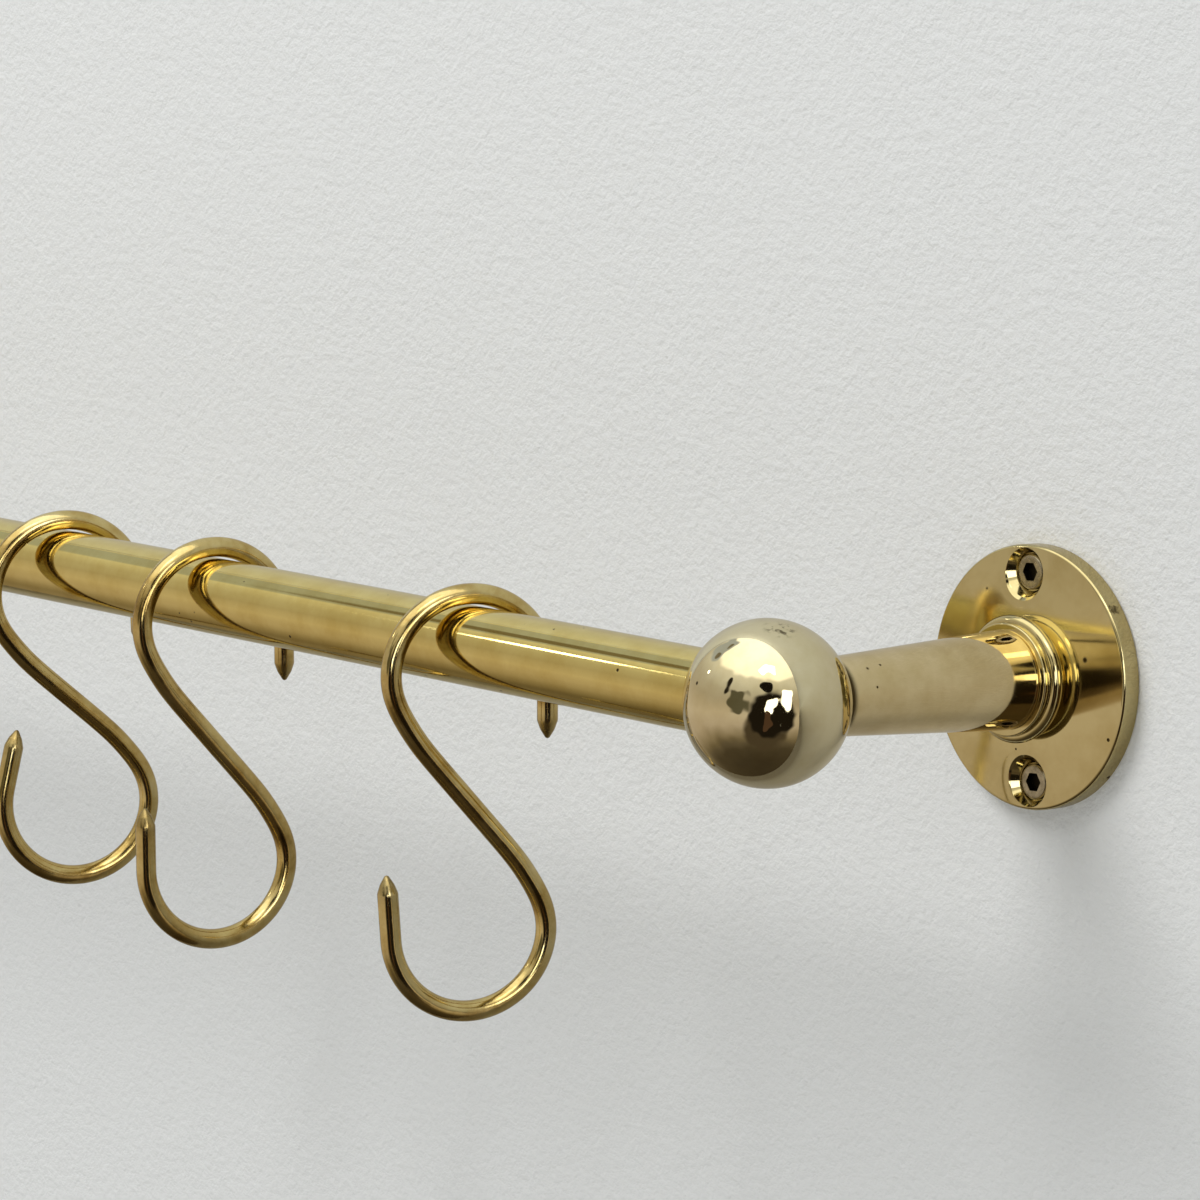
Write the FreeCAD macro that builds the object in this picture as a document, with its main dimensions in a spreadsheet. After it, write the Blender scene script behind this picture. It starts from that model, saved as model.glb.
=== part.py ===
"""Brass kitchen utensil rail: a round tube between two ball ends on wall brackets, with S-hooks.

Frame: X runs along the rail, +Y goes into the wall, +Z is up. The origin is on the wall plane,
midway between the two brackets, at the height of the rail's axis. All sizes are in millimetres.
"""
import FreeCAD, Part
import math
import os
from types import SimpleNamespace

import Sketcher

# Driving dimensions, one cell of the sheet each.
SIZES = {
    # rail and brackets
    "rail_diameter": 19.0,
    "rail_wall": 1.5,
    "bracket_spacing": 500.0,
    "stand_off": 86.0,
    # ball end: the rail stops short of the ball's centre by socket_floor
    "ball_diameter": 37.6,
    "socket_floor": 6.0,
    "rail_fit": 0.05,
    # tapered stem from the ball to the wall flange
    "stem_tip_diameter": 17.6,
    "stem_tip_chamfer": 0.9,
    "stem_root_diameter": 23.2,
    "stem_root_edge": 0.5,
    "spigot_diameter": 14.0,
    "spigot_length": 4.0,
    "spigot_gap": 0.2,
    "turned_fit": 0.05,
    # round wall flange with a bead and a narrow ring turned on its neck
    "flange_diameter": 61.4,
    "flange_thickness": 5.4,
    "flange_edge": 0.6,
    "bead_step": 1.7,
    "bead_width": 5.5,
    "bead_back_bevel": 1.3,
    "ring_diameter": 26.2,
    "ring_width": 1.7,
    "ring_edge": 0.4,
    "right_flange_turn": 4.5,
    "left_flange_turn": 0.0,
    # socket screws that hold a flange to the wall
    "screw_circle": 48.6,
    "screw_diameter": 5.0,
    "screw_thread_diameter": 4.5,
    "screw_reach": 40.0,
    "screw_end_bevel": 0.6,
    "screw_head_diameter": 8.3,
    "screw_head_height": 2.4,
    "screw_head_bevel": 0.4,
    "screw_hex": 4.0,
    "screw_hex_depth": 1.6,
    "screw_clearance": 0.25,
    "screw_recess_diameter": 11.2,
    "screw_recess_depth": 4.3,
    "screw_recess_bevel": 0.3,
    # stud between ball and stem
    "stud_diameter": 8.0,
    "stud_in_ball": 11.0,
    "stud_in_stem": 13.0,
    "stud_end_gap": 0.4,
    "stud_end_bevel": 0.8,
    # bolt that draws the stem against the flange from behind
    "bolt_diameter": 8.0,
    "bolt_in_stem": 14.0,
    "bolt_end_gap": 0.6,
    "bolt_end_bevel": 0.8,
    "bolt_head_diameter": 13.0,
    "bolt_head_height": 4.8,
    "bolt_hex": 5.0,
    "bolt_hex_depth": 2.6,
    "bolt_clearance": 0.25,
    "bolt_recess_diameter": 14.0,
    "bolt_recess_depth": 5.4,
    # set screw under each ball that locks the rail
    "set_screw_diameter": 5.0,
    "set_screw_length": 5.0,
    "set_screw_inset": 11.0,
    "set_screw_hex": 2.5,
    "set_screw_hex_depth": 2.0,
    # S-hooks of round wire, hung over the rail; each is bent by hand and hangs a little differently:
    # turn about the vertical, swing towards the wall, inward bend of the front prong
    "hook_wire": 5.0,
    "hook_loop": 34.4,
    "hook_prong": 11.2,
    "hook_tip": 4.6,
    "hook_rest_gap": 0.3,
    "right_hook_height": 105.0,
    "right_hook_inset": 103.5,
    "right_hook_turn": 19.0,
    "right_hook_swing": 1.6,
    "right_hook_bend": -4.0,
    "middle_hook_height": 105.0,
    "middle_hook_inset": 205.5,
    "middle_hook_turn": 10.5,
    "middle_hook_swing": 2.4,
    "middle_hook_bend": 0.0,
    "left_hook_height": 99.0,
    "left_hook_inset": 270.5,
    "left_hook_turn": 19.0,
    "left_hook_swing": 4.2,
    "left_hook_bend": 15.0,
}

SHEET_NAME = "Sizes"
FULL_TURN = 360.0
QUARTER_TURN = 90.0
OVERRUN = 2.0
HEX_SIDES = 6
# How round the bead is: its front against its height, its back against its bevel.
BEAD_FRONT_SHARE = 0.9
BEAD_BACK_SHARE = 1.5
# The filed point of a hook: its width at the shoulder and end, and the shoulder's height.
TIP_SHOULDER_SHARE = 0.7
TIP_SHOULDER_HEIGHT = 0.5
TIP_END_SHARE = 0.16
VOLUME_TOLERANCE = 1e-3
POINT_TOLERANCE = 1e-6

Vector = FreeCAD.Vector
Y_AXIS = Vector(0, 1, 0)
Z_AXIS = Vector(0, 0, 1)
# Turns a cylinder or prism that stands along Z to point along +Y or -Y.
TO_WALL = FreeCAD.Rotation(Vector(1, 0, 0), -QUARTER_TURN)


class Size:
    """A size that keeps its number together with the sheet expression that gives it."""

    def __init__(self, value, text):
        self.value = float(value)
        self.text = text

    def __add__(self, other):
        other = as_size(other)
        return Size(self.value + other.value, f"({self.text} + {other.text})")

    def __sub__(self, other):
        other = as_size(other)
        return Size(self.value - other.value, f"({self.text} - {other.text})")

    def __mul__(self, other):
        other = as_size(other)
        return Size(self.value * other.value, f"({self.text} * {other.text})")

    def __truediv__(self, other):
        other = as_size(other)
        return Size(self.value / other.value, f"({self.text} / {other.text})")

    def __neg__(self):
        return Size(-self.value, f"(-1 * {self.text})")


def as_size(item):
    return item if isinstance(item, Size) else Size(item, repr(float(item)))


def root_of(size):
    return Size(math.sqrt(size.value), f"sqrt({size.text})")


def sine_of(angle):
    return Size(math.sin(math.radians(angle.value)), f"sin({angle.text} * 1 deg)")


def cosine_of(angle):
    return Size(math.cos(math.radians(angle.value)), f"cos({angle.text} * 1 deg)")


def in_degrees(angle):
    return Size(angle.value, f"({angle.text} * 1 deg)")


def chord_reach(radius, offset):
    """Distance from a sphere's or circle's centre plane to its surface, at an offset from the axis."""
    return root_of(radius * radius - offset * offset)


ZERO = as_size(0.0)
doc = FreeCAD.newDocument("utensil_rail")
dim = SimpleNamespace(**{name: Size(value, f"{SHEET_NAME}.{name}") for name, value in SIZES.items()})


def fill_sheet():
    """One row for each driving dimension: its name in column A, its number and alias in column B."""
    sheet = doc.addObject("Spreadsheet::Sheet", SHEET_NAME)
    for row, (name, value) in enumerate(SIZES.items(), start=1):
        sheet.set(f"A{row}", name)
        sheet.set(f"B{row}", str(value))
        sheet.setAlias(f"B{row}", name)
    doc.recompute()


def bind(item, path, size):
    item.setExpression(path, size.text)


def new_body(name):
    body = doc.addObject("PartDesign::Body", name)
    body.Label = name
    return body


def new_sketch(body, name, role, shift=(ZERO, ZERO, ZERO), turn=ZERO):
    """A sketch on one of the body's own origin planes, shifted and turned in the sketch's own axes."""
    sketch = body.newObject("Sketcher::SketchObject", name)
    plane = next(item for item in body.Origin.OriginFeatures if item.Role == role)
    sketch.AttachmentSupport = [(plane, "")]
    sketch.MapMode = "FlatFace"
    for letter, size in zip("xyz", shift):
        if size is not ZERO:
            bind(sketch, f"AttachmentOffset.Base.{letter}", size)
    if turn is not ZERO:
        bind(sketch, "AttachmentOffset.Rotation.Yaw", turn)
    return sketch


def hold(sketch, constraint, size):
    """Adds a dimension to a sketch and ties it to the sheet."""
    index = sketch.addConstraint(constraint)
    bind(sketch, f"Constraints[{index}]", size)


def pin_point(sketch, line, end, x, y):
    """Fixes one end of a line at (x, y) from the sketch's origin."""
    if x is ZERO:
        sketch.addConstraint(Sketcher.Constraint("PointOnObject", line, end, -2))
    else:
        hold(sketch, Sketcher.Constraint("DistanceX", -1, 1, line, end, x.value), x)
    if y is ZERO:
        sketch.addConstraint(Sketcher.Constraint("PointOnObject", line, end, -1))
    else:
        hold(sketch, Sketcher.Constraint("DistanceY", -1, 1, line, end, y.value), y)


def draw_outline(sketch, corners):
    """A closed outline of straight lines through the corners, each pinned to the sheet."""
    spots = [Vector(x.value, y.value, 0) for x, y in corners]
    count = len(spots)
    for index, spot in enumerate(spots):
        sketch.addGeometry(Part.LineSegment(spot, spots[(index + 1) % count]))
    for index in range(count):
        sketch.addConstraint(Sketcher.Constraint("Coincident", index, 2, (index + 1) % count, 1))
    for index, (x, y) in enumerate(corners):
        pin_point(sketch, index, 1, x, y)


def draw_circle(sketch, radius, x=ZERO, y=ZERO):
    index = sketch.addGeometry(Part.Circle(Vector(x.value, y.value, 0), Z_AXIS, radius.value))
    hold(sketch, Sketcher.Constraint("Radius", index, radius.value), radius)
    pin_point(sketch, index, 3, x, y)


def turn_profile(body, name, corners):
    """Turns a closed outline, drawn as (radius, distance along Y), about the Y axis."""
    sketch = new_sketch(body, f"{name}_profile", "XY_Plane")
    draw_outline(sketch, corners)
    turned = body.newObject("PartDesign::Revolution", name)
    turned.Profile = sketch
    turned.ReferenceAxis = (sketch, ["V_Axis"])
    turned.Angle = FULL_TURN
    doc.recompute()
    return turned


def cut_feature(body, kind, name, sketch):
    """Adds a cutting feature that the caller sets up and then proves with must_cut."""
    cut = body.newObject(kind, name)
    cut.Profile = sketch
    return cut


def must_cut(body, before):
    doc.recompute()
    if not body.Shape.Volume < before - VOLUME_TOLERANCE:
        raise RuntimeError(f"a cut in {body.Label} removed nothing")


def bore(body, name, sketch, depth=None, reverse=False):
    """A straight hole from a circle sketch: to a depth, or right through when depth is None."""
    before = body.Shape.Volume
    cut = cut_feature(body, "PartDesign::Pocket", name, sketch)
    if depth is None:
        cut.Type = "ThroughAll"
    else:
        bind(cut, "Length", depth)
    cut.Reversed = reverse
    must_cut(body, before)


def circles_at(shape, radius, y):
    """Names of the circular edges about the Y axis with this radius and place."""
    names = []
    for number, edge in enumerate(shape.Edges, start=1):
        curve = edge.Curve
        if not isinstance(curve, Part.Circle):
            continue
        same_radius = abs(curve.Radius - radius.value) < POINT_TOLERANCE
        if same_radius and abs(curve.Center.y - y.value) < POINT_TOLERANCE:
            names.append(f"Edge{number}")
    return names


def round_edge(body, name, base, radius, y, rounding):
    fillet = body.newObject("PartDesign::Fillet", name)
    fillet.Base = (base, circles_at(base.Shape, radius, y))
    bind(fillet, "Radius", rounding)
    doc.recompute()
    return fillet


def place_body(body, x, y, z, axis, angle):
    """Puts a body at (x, y, z), turned about an axis by an angle in degrees."""
    body.Placement = FreeCAD.Placement(Vector(0, 0, 0), FreeCAD.Rotation(axis, angle.value))
    for letter, size in zip("xyz", (x, y, z)):
        if size is not ZERO:
            bind(body, f"Placement.Base.{letter}", size)
    if angle is not ZERO:
        bind(body, "Placement.Rotation.Angle", angle)


# Places that more than one piece shares, worked out from the driving dimensions.
rail_radius = dim.rail_diameter / 2
ball_radius = dim.ball_diameter / 2
ball_x = dim.bracket_spacing / 2
socket_radius = rail_radius + dim.rail_fit
# The stem's bevelled end sits on a flat turned on the ball.
seat_radius = dim.stem_tip_diameter / 2 - dim.stem_tip_chamfer
seat_from_ball = chord_reach(ball_radius, seat_radius)
stem_tip_y = seat_from_ball - dim.stand_off
# The neck of the flange: face, bead, then the narrow ring that the stem's shoulder meets.
face_y = -dim.flange_thickness
bead_y = face_y - dim.bead_width
neck_y = bead_y - dim.ring_width
spigot_floor_y = neck_y + dim.spigot_length
spigot_end_y = spigot_floor_y - dim.spigot_gap
bolt_seat_y = -dim.bolt_recess_depth
stud_hole_radius = dim.stud_diameter / 2 + dim.turned_fit
bolt_hole_radius = dim.bolt_diameter / 2 + dim.turned_fit
screw_seat_y = dim.screw_recess_depth - dim.flange_thickness
hook_radius = (dim.hook_loop + dim.hook_wire) / 2
# The top of the hook's inner loop lies just above the top of the rail.
hook_pivot_z = rail_radius + dim.hook_rest_gap - dim.hook_loop / 2


def make_rail():
    body = new_body("rail_tube")
    sketch = new_sketch(body, "rail_section", "YZ_Plane")
    draw_circle(sketch, rail_radius)
    draw_circle(sketch, rail_radius - dim.rail_wall)
    tube = body.newObject("PartDesign::Pad", "rail_length")
    tube.Profile = sketch
    tube.Midplane = True
    bind(tube, "Length", dim.bracket_spacing - dim.socket_floor * 2)
    place_body(body, ZERO, -dim.stand_off, ZERO, Z_AXIS, ZERO)
    return body


def make_ball(side, sign):
    """A turned ball with a blind socket for the rail, a flat and tapped hole for the stem."""
    body = new_body(f"{side}_ball")
    sketch = new_sketch(body, f"{side}_ball_profile", "XY_Plane")
    radius = ball_radius.value
    arc = Part.Circle(Vector(0, 0, 0), Z_AXIS, radius)
    sketch.addGeometry(Part.ArcOfCircle(arc, -math.pi / 2, math.pi / 2))
    sketch.addGeometry(Part.LineSegment(Vector(0, radius, 0), Vector(0, -radius, 0)))
    sketch.addConstraint(Sketcher.Constraint("Coincident", 0, 2, 1, 1))
    sketch.addConstraint(Sketcher.Constraint("Coincident", 1, 2, 0, 1))
    sketch.addConstraint(Sketcher.Constraint("Coincident", 0, 3, -1, 1))
    sketch.addConstraint(Sketcher.Constraint("PointOnObject", 1, 1, -2))
    sketch.addConstraint(Sketcher.Constraint("PointOnObject", 1, 2, -2))
    hold(sketch, Sketcher.Constraint("Radius", 0, radius), ball_radius)
    turned = body.newObject("PartDesign::Revolution", f"{side}_ball_form")
    turned.Profile = sketch
    turned.ReferenceAxis = (sketch, ["V_Axis"])
    turned.Angle = FULL_TURN
    doc.recompute()

    socket = new_sketch(body, f"{side}_socket_circle", "YZ_Plane", (ZERO, ZERO, dim.socket_floor * -sign))
    draw_circle(socket, socket_radius)
    bore(body, f"{side}_socket", socket, reverse=sign < 0)

    flat = new_sketch(body, f"{side}_seat_circle", "XZ_Plane", (ZERO, ZERO, -seat_from_ball))
    draw_circle(flat, ball_radius)
    bore(body, f"{side}_seat", flat, ball_radius)

    tapped_depth = dim.stud_in_ball + dim.stud_end_gap
    tapped = new_sketch(body, f"{side}_stud_circle", "XZ_Plane", (ZERO, ZERO, -seat_from_ball))
    draw_circle(tapped, stud_hole_radius)
    bore(body, f"{side}_stud_hole", tapped, tapped_depth, reverse=True)

    lock = new_sketch(body, f"{side}_lock_circle", "XY_Plane")
    draw_circle(lock, dim.set_screw_diameter / 2 + dim.turned_fit, dim.set_screw_inset * -sign)
    bore(body, f"{side}_lock_hole", lock)
    place_body(body, ball_x * sign, -dim.stand_off, ZERO, Z_AXIS, ZERO)
    return body


def make_stem(side, sign):
    """A tapered turned stem: bevelled against the ball, with a spigot into the flange's neck."""
    body = new_body(f"{side}_stem")
    tip_radius = dim.stem_tip_diameter / 2
    root_radius = dim.stem_root_diameter / 2
    spigot_radius = dim.spigot_diameter / 2
    stud_floor_y = stem_tip_y + dim.stud_in_stem + dim.stud_end_gap
    bolt_floor_y = spigot_end_y - dim.bolt_in_stem - dim.bolt_end_gap
    form = turn_profile(body, f"{side}_stem_form", [
        (stud_hole_radius, stem_tip_y),
        (seat_radius, stem_tip_y),
        (tip_radius, stem_tip_y + dim.stem_tip_chamfer),
        (root_radius, neck_y),
        (spigot_radius, neck_y),
        (spigot_radius, spigot_end_y),
        (bolt_hole_radius, spigot_end_y),
        (bolt_hole_radius, bolt_floor_y),
        (ZERO, bolt_floor_y),
        (ZERO, stud_floor_y),
        (stud_hole_radius, stud_floor_y),
    ])
    round_edge(body, f"{side}_stem_edge", form, root_radius, neck_y, dim.stem_root_edge)
    place_body(body, ball_x * sign, ZERO, ZERO, Z_AXIS, ZERO)
    return body


def make_flange(side, sign, flange_turn):
    """A turned wall flange with a bead and a ring on its neck, bored and recessed for its fixings."""
    body = new_body(f"{side}_flange")
    flange_radius = dim.flange_diameter / 2
    ring_radius = dim.ring_diameter / 2
    bead_radius = ring_radius + dim.bead_step
    bead_back_y = face_y - dim.bead_back_bevel
    spigot_bore = dim.spigot_diameter / 2 + dim.turned_fit
    bolt_bore = dim.bolt_diameter / 2 + dim.bolt_clearance
    bolt_recess = dim.bolt_recess_diameter / 2
    form = turn_profile(body, f"{side}_flange_form", [
        (bolt_recess, ZERO),
        (flange_radius, ZERO),
        (flange_radius, face_y),
        (bead_radius - dim.bead_back_bevel, face_y),
        (bead_radius, bead_back_y),
        (bead_radius, bead_y),
        (ring_radius, bead_y),
        (ring_radius, neck_y),
        (spigot_bore, neck_y),
        (spigot_bore, spigot_floor_y),
        (bolt_bore, spigot_floor_y),
        (bolt_bore, bolt_seat_y),
        (bolt_recess, bolt_seat_y),
    ])
    rim = round_edge(body, f"{side}_flange_rim", form, flange_radius, face_y, dim.flange_edge)
    front_round = dim.bead_step * BEAD_FRONT_SHARE
    back_round = dim.bead_back_bevel * BEAD_BACK_SHARE
    bead_front = round_edge(body, f"{side}_bead_front", rim, bead_radius, bead_y, front_round)
    bead_back = round_edge(body, f"{side}_bead_back", bead_front, bead_radius, bead_back_y, back_round)
    round_edge(body, f"{side}_flange_ring", bead_back, ring_radius, neck_y, dim.ring_edge)

    # One stepped screw hole, turned about its own axis, and its twin across the flange.
    shank_hole = dim.screw_diameter / 2 + dim.screw_clearance
    recess = dim.screw_recess_diameter / 2
    before = body.Shape.Volume
    hole = new_sketch(body, f"{side}_screw_hole_profile", "YZ_Plane", (ZERO, dim.screw_circle / 2, ZERO))
    past_back = as_size(OVERRUN)
    past_face = face_y - OVERRUN
    draw_outline(hole, [
        (past_back, ZERO),
        (past_back, shank_hole),
        (screw_seat_y, shank_hole),
        (screw_seat_y, recess),
        (face_y + dim.screw_recess_bevel, recess),
        (face_y, recess + dim.screw_recess_bevel),
        (past_face, recess + dim.screw_recess_bevel),
        (past_face, ZERO),
    ])
    groove = cut_feature(body, "PartDesign::Groove", f"{side}_screw_hole", hole)
    groove.ReferenceAxis = (hole, ["H_Axis"])
    groove.Angle = FULL_TURN
    must_cut(body, before)
    before = body.Shape.Volume
    pair = body.newObject("PartDesign::PolarPattern", f"{side}_screw_holes")
    pair.Originals = [groove]
    pair.Axis = (next(item for item in body.Origin.OriginFeatures if item.Role == "Y_Axis"), [""])
    pair.Angle = FULL_TURN
    pair.Occurrences = 2
    body.Tip = pair
    must_cut(body, before)
    place_body(body, ball_x * sign, ZERO, ZERO, Y_AXIS, -flange_turn)
    return body


def part_cone(name, end_radius, start_radius, length):
    """A truncated cone standing on the XY plane."""
    cone = doc.addObject("Part::Cone", name)
    bind(cone, "Radius1", start_radius)
    bind(cone, "Radius2", end_radius)
    bind(cone, "Height", length)
    return cone


def part_cylinder(name, radius, length, z=ZERO):
    cylinder = doc.addObject("Part::Cylinder", name)
    bind(cylinder, "Radius", radius)
    bind(cylinder, "Height", length)
    if z is not ZERO:
        bind(cylinder, "Placement.Base.z", z)
    return cylinder


def hex_key_cut(name, base, across_flats, depth):
    """Sinks a hexagon socket into the base's face on the XY plane."""
    prism = doc.addObject("Part::Prism", f"{name}_hexagon")
    prism.Polygon = HEX_SIDES
    bind(prism, "Circumradius", across_flats / math.sqrt(3.0))
    bind(prism, "Height", depth)
    cut = doc.addObject("Part::Cut", name)
    cut.Base = base
    cut.Tool = prism
    return cut


def fuse(name, pieces):
    joined = doc.addObject("Part::MultiFuse", name)
    joined.Shapes = pieces
    joined.Refine = True
    return joined


def put(item, x, y, z, rotation):
    """Places a fastener that was made standing along Z."""
    item.Placement = FreeCAD.Placement(Vector(0, 0, 0), rotation)
    for letter, size in zip("xyz", (x, y, z)):
        if size is not ZERO:
            bind(item, f"Placement.Base.{letter}", size)
    return item


def gather(label, pieces):
    """One node for a set of identical fasteners, each its own solid."""
    group = doc.addObject("Part::Compound", label)
    group.Label = label
    group.Links = pieces
    return group


def headed_screw(name, head_radius, head_height, head_bevel, runs, end_bevel):
    """A socket-head screw standing along Z: head face at zero, head, shank runs and a bevelled end.

    Each run is a radius and a length; the last one loses the end bevel from its length.
    """
    pieces = [
        part_cone(f"{name}_head_bevel", head_radius, head_radius - head_bevel, head_bevel),
        part_cylinder(f"{name}_head", head_radius, head_height - head_bevel, head_bevel),
    ]
    start = head_height
    for index, (radius, length) in enumerate(runs):
        if index == len(runs) - 1:
            length = length - end_bevel
        pieces.append(part_cylinder(f"{name}_run_{index}", radius, length, start))
        start = start + length
    end = part_cone(f"{name}_end", radius - end_bevel, radius, end_bevel)
    bind(end, "Placement.Base.z", start)
    return fuse(f"{name}_blank", pieces + [end])


def make_wall_screws():
    screws = []
    for side, sign, flange_turn in brackets:
        for place, up in (("upper", 1), ("lower", -1)):
            name = f"{side}_{place}_screw"
            # Plain through the flange, then the thread at its mean diameter into the wall.
            runs = [
                (dim.screw_diameter / 2, -screw_seat_y),
                (dim.screw_thread_diameter / 2, dim.screw_reach),
            ]
            blank = headed_screw(name, dim.screw_head_diameter / 2, dim.screw_head_height,
                                 dim.screw_head_bevel, runs, dim.screw_end_bevel)
            screw = hex_key_cut(name, blank, dim.screw_hex, dim.screw_hex_depth)
            reach = dim.screw_circle / 2 * up
            x = ball_x * sign - reach * sine_of(flange_turn)
            put(screw, x, screw_seat_y - dim.screw_head_height, reach * cosine_of(flange_turn), TO_WALL)
            screws.append(screw)
    return gather("wall_screws", screws)


def make_ball_studs():
    """Headless studs, half in the ball and half in the stem."""
    studs = []
    radius = dim.stud_diameter / 2
    length = dim.stud_in_ball + dim.stud_in_stem
    bevel = dim.stud_end_bevel
    for side, sign, _ in brackets:
        name = f"{side}_ball_stud"
        start = part_cone(f"{name}_start", radius, radius - bevel, bevel)
        middle = part_cylinder(f"{name}_middle", radius, length - bevel * 2, bevel)
        end = part_cone(f"{name}_end", radius - bevel, radius, bevel)
        bind(end, "Placement.Base.z", length - bevel)
        stud = fuse(name, [start, middle, end])
        studs.append(put(stud, ball_x * sign, stem_tip_y - dim.stud_in_ball, ZERO, TO_WALL))
    return gather("ball_studs", studs)


def make_flange_bolts():
    """Bolts that come through the flange from the wall side and draw the stem against its neck."""
    bolts = []
    length = bolt_seat_y - spigot_end_y + dim.bolt_in_stem
    bevel = dim.bolt_end_bevel
    for side, sign, _ in brackets:
        name = f"{side}_flange_bolt"
        blank = headed_screw(name, dim.bolt_head_diameter / 2, dim.bolt_head_height, bevel,
                             [(dim.bolt_diameter / 2, length)], bevel)
        bolt = hex_key_cut(name, blank, dim.bolt_hex, dim.bolt_hex_depth)
        face = bolt_seat_y + dim.bolt_head_height
        bolts.append(put(bolt, ball_x * sign, face, ZERO, TO_WALL.inverted()))
    return gather("flange_bolts", bolts)


def make_set_screws():
    """Small socket set screws under the balls, each ending against the rail."""
    screws = []
    for side, sign, _ in brackets:
        name = f"{side}_set_screw"
        blank = part_cylinder(f"{name}_blank", dim.set_screw_diameter / 2, dim.set_screw_length)
        screw = hex_key_cut(name, blank, dim.set_screw_hex, dim.set_screw_hex_depth)
        x = (ball_x - dim.set_screw_inset) * sign
        z = -rail_radius - dim.set_screw_length
        screws.append(put(screw, x, -dim.stand_off, z, FreeCAD.Rotation()))
    return gather("rail_set_screws", screws)


def draw_hook_path(sketch, centres, bend):
    """The S of the wire's centre line about the upper loop's centre: x towards the wall, y up.

    Rear prong, upper loop, straight diagonal along the loops' inner tangent, lower loop, front prong.
    """
    radius = hook_radius.value
    prong = dim.hook_prong.value
    lean = math.asin(2 * radius / centres.value)
    inward = math.radians(bend.value)
    tangent = Vector(radius * math.cos(lean), radius * math.sin(lean), 0)
    low = Vector(0, -centres.value, 0)
    rear = Vector(radius, 0, 0)
    front = low + Vector(-radius * math.cos(inward), radius * math.sin(inward), 0)
    upper_circle = Part.Circle(Vector(0, 0, 0), Z_AXIS, radius)
    lower_circle = Part.Circle(low, Z_AXIS, radius)
    sketch.addGeometry(Part.LineSegment(rear - Vector(0, prong, 0), rear))
    sketch.addGeometry(Part.ArcOfCircle(upper_circle, 0.0, math.pi + lean))
    sketch.addGeometry(Part.LineSegment(-tangent, low + tangent))
    sketch.addGeometry(Part.ArcOfCircle(lower_circle, math.pi - inward, 2 * math.pi + lean))
    sketch.addGeometry(Part.LineSegment(front, front + Vector(math.sin(inward), math.cos(inward), 0) * prong))
    for first, first_end, second, second_end in ((0, 2, 1, 1), (1, 2, 2, 1), (2, 2, 3, 2), (3, 1, 4, 1)):
        sketch.addConstraint(Sketcher.Constraint("Tangent", first, first_end, second, second_end))
    sketch.addConstraint(Sketcher.Constraint("Coincident", 1, 3, -1, 1))
    sketch.addConstraint(Sketcher.Constraint("PointOnObject", 3, 3, -2))
    sketch.addConstraint(Sketcher.Constraint("Vertical", 0))
    sketch.addConstraint(Sketcher.Constraint("Equal", 1, 3))
    slope = as_size(QUARTER_TURN) - bend
    hold(sketch, Sketcher.Constraint("Angle", 4, math.radians(slope.value)), in_degrees(slope))
    hold(sketch, Sketcher.Constraint("Radius", 1, radius), hook_radius)
    hold(sketch, Sketcher.Constraint("DistanceY", -1, 1, 3, 3, -centres.value), -centres)
    hold(sketch, Sketcher.Constraint("DistanceY", 0, 1, 0, 2, prong), dim.hook_prong)
    hold(sketch, Sketcher.Constraint("Distance", 4, prong), dim.hook_prong)


def add_hook_tip(body, name, place, up, turn=ZERO):
    """A filed point in two bevels with a blunted end, turned about the prong's axis."""
    wire = dim.hook_wire / 2
    height = dim.hook_tip * up
    sketch = new_sketch(body, f"{name}_profile", "YZ_Plane", place, turn)
    draw_outline(sketch, [
        (ZERO, ZERO),
        (wire, ZERO),
        (wire * TIP_SHOULDER_SHARE, height * TIP_SHOULDER_HEIGHT),
        (wire * TIP_END_SHARE, height),
        (ZERO, height),
    ])
    tip = body.newObject("PartDesign::Revolution", name)
    tip.Profile = sketch
    tip.ReferenceAxis = (sketch, ["V_Axis"])
    tip.Angle = FULL_TURN
    doc.recompute()


def make_hook(side, height, inset, hook_turn, swing, bend):
    """An S-hook of round wire, turned about the vertical and swung as it hangs on the rail."""
    body = new_body(f"{side}_hook")
    centres = height - dim.hook_wire - hook_radius * 2
    path = new_sketch(body, f"{side}_hook_path", "YZ_Plane")
    draw_hook_path(path, centres, bend)
    section = new_sketch(body, f"{side}_hook_section", "XY_Plane", (ZERO, ZERO, -dim.hook_prong))
    draw_circle(section, dim.hook_wire / 2, ZERO, hook_radius)
    doc.recompute()
    wire = body.newObject("PartDesign::AdditivePipe", f"{side}_hook_wire")
    wire.Profile = section
    wire.Spine = (path, [f"Edge{number}" for number in range(1, len(path.Shape.Edges) + 1)])
    doc.recompute()
    rear_place = (hook_radius, -dim.hook_prong, ZERO)
    front_across = dim.hook_prong * sine_of(bend) - hook_radius * cosine_of(bend)
    front_up = dim.hook_prong * cosine_of(bend) + hook_radius * sine_of(bend) - centres
    add_hook_tip(body, f"{side}_hook_rear_tip", rear_place, -1)
    add_hook_tip(body, f"{side}_hook_front_tip", (front_across, front_up, ZERO), 1, -bend)
    place_body(body, ball_x - inset, -dim.stand_off, hook_pivot_z, Z_AXIS, ZERO)
    bind(body, "Placement.Rotation.Yaw", -hook_turn)
    bind(body, "Placement.Rotation.Roll", swing)
    return body


def check_document(parts):
    """Stops if any object failed, or if a piece has no valid shape."""
    doc.recompute()
    for item in doc.Objects:
        if "Invalid" in item.State or "Error" in item.State:
            raise RuntimeError(f"{item.Label} failed to build")
    for item in parts:
        if item.Shape.isNull() or not item.Shape.isValid():
            raise RuntimeError(f"{item.Label} has no valid shape")


def export(parts):
    os.makedirs("parts", exist_ok=True)
    for item in parts:
        item.Shape.exportStep(f"parts/{item.Label}.step")
        solids = len(item.Shape.Solids)
        print(f"{item.Label}: {solids} solid(s), {item.Shape.Volume:.1f} mm3")


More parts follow.
